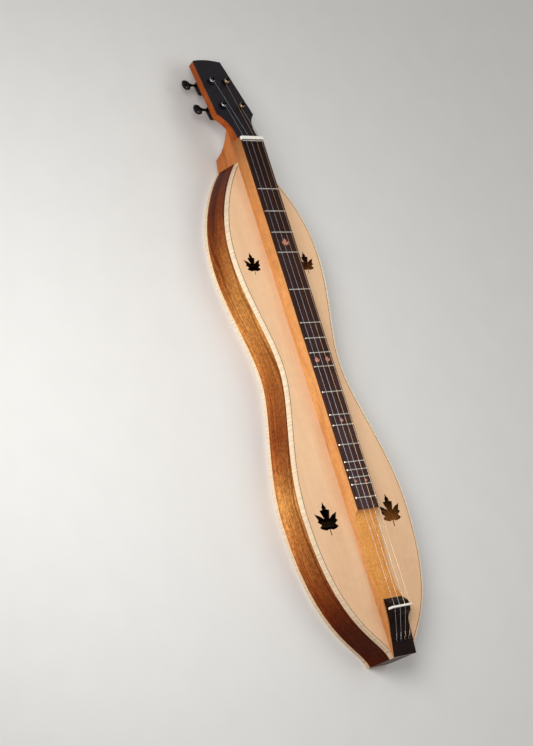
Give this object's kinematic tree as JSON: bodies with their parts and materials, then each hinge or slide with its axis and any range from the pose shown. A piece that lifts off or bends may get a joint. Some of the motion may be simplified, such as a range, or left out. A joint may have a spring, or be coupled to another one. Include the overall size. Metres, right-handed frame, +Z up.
{
  "type": "mountain dulcimer",
  "caption": "Hourglass fretted zither that lies on its back, with leaf sound holes, a hollowed strum area, a tilted peghead and geared tuners.",
  "frame": {"origin": "middle of the flat back face", "axes": "+X along the strings towards the peghead, +Y across towards the player's side, +Z up out of the soundboard"},
  "size_m": [0.883, 0.1898, 0.0787],
  "materials": {
    "spruce": "satin lacquer over pale straight grain",
    "rib_wood": "gloss lacquer over striped brown wood",
    "maple": "gloss lacquer over pale curly wood",
    "mahogany": "satin lacquer over orange brown wood",
    "heel_wood": "satin lacquer over light orange wood",
    "rosewood": "oiled, nearly black",
    "bone": "polished off-white bone",
    "nickel": "polished fret wire",
    "steel": "plain steel wire",
    "bronze": "bronze winding over a steel core",
    "tuner_black": "gloss black"
  },
  "bodies": {
    "dulcimer": {"back_plate": "rib_wood", "rib_left": "rib_wood", "rib_right": "rib_wood", "soundboard": "spruce", "top_binding_left": "maple", "top_binding_right": "maple", "back_binding_left": "maple", "back_binding_right": "maple", "heel_block": "heel_wood", "tail_block": "heel_wood", "fretboard_body": "mahogany", "peghead": "mahogany", "peghead_overlay": "rosewood", "fingerboard": "rosewood", "tail_cap": "rosewood", "nut": "bone", "saddle": "bone", "soundboard_brace_1": "spruce", "soundboard_brace_2": "spruce", "back_brace_1": "spruce", "back_brace_2": "spruce", "fret_zero": "nickel", "fret_01": "nickel", "fret_02": "nickel", "fret_03": "nickel", "fret_04": "nickel", "fret_05": "nickel", "fret_06": "nickel", "fret_07": "nickel", "fret_08": "nickel", "fret_09": "nickel", "fret_10": "nickel", "fret_11": "nickel", "fret_12": "nickel", "fret_13": "nickel", "fret_14": "nickel", "fret_15": "nickel", "fret_16": "nickel", "fret_17": "nickel", "fret_18": "nickel", "string_1": "steel", "tuner_housing_1": "tuner_black", "string_2": "steel", "tuner_housing_2": "tuner_black", "string_3": "bronze", "tuner_housing_3": "tuner_black", "string_4": "bronze", "tuner_housing_4": "tuner_black"},
    "knob_1": {"tuner_knob_1": "tuner_black"},
    "post_1": {"tuner_post_1": "tuner_black", "string_winding_1": "steel"},
    "knob_2": {"tuner_knob_2": "tuner_black"},
    "post_2": {"tuner_post_2": "tuner_black", "string_winding_2": "steel"},
    "knob_3": {"tuner_knob_3": "tuner_black"},
    "post_3": {"tuner_post_3": "tuner_black", "string_winding_3": "bronze"},
    "knob_4": {"tuner_knob_4": "tuner_black"},
    "post_4": {"tuner_post_4": "tuner_black", "string_winding_4": "bronze"}
  },
  "joints": [
    {"name": "knob_1_spin", "type": "hinge", "parent": "dulcimer", "child": "knob_1", "pos_m": [0.4446, 0.0275, 0.03413], "axis": [0, 1, 0], "continuous": true},
    {"name": "post_1_spin", "type": "hinge", "parent": "dulcimer", "child": "post_1", "pos_m": [0.44054, 0.017, 0.05448], "axis": [0.2385, 0, 0.9711], "continuous": true},
    {"name": "knob_2_spin", "type": "hinge", "parent": "dulcimer", "child": "knob_2", "pos_m": [0.48859, 0.0242, 0.02332], "axis": [0, 1, 0], "continuous": true},
    {"name": "post_2_spin", "type": "hinge", "parent": "dulcimer", "child": "post_2", "pos_m": [0.48453, 0.0137, 0.04368], "axis": [0.2385, 0, 0.9711], "continuous": true},
    {"name": "knob_3_spin", "type": "hinge", "parent": "dulcimer", "child": "knob_3", "pos_m": [0.48859, -0.0242, 0.02332], "axis": [0, -1, 0], "continuous": true},
    {"name": "post_3_spin", "type": "hinge", "parent": "dulcimer", "child": "post_3", "pos_m": [0.48453, -0.0137, 0.04368], "axis": [0.2385, 0, 0.9711], "continuous": true},
    {"name": "knob_4_spin", "type": "hinge", "parent": "dulcimer", "child": "knob_4", "pos_m": [0.4446, -0.0275, 0.03413], "axis": [0, -1, 0], "continuous": true},
    {"name": "post_4_spin", "type": "hinge", "parent": "dulcimer", "child": "post_4", "pos_m": [0.44054, -0.017, 0.05448], "axis": [0.2385, 0, 0.9711], "continuous": true}
  ],
  "couplings": [
    {"joint": "post_1_spin", "follows": "knob_1_spin", "ratio": 0.066667},
    {"joint": "post_2_spin", "follows": "knob_2_spin", "ratio": 0.066667},
    {"joint": "post_3_spin", "follows": "knob_3_spin", "ratio": -0.066667},
    {"joint": "post_4_spin", "follows": "knob_4_spin", "ratio": -0.066667}
  ]
}
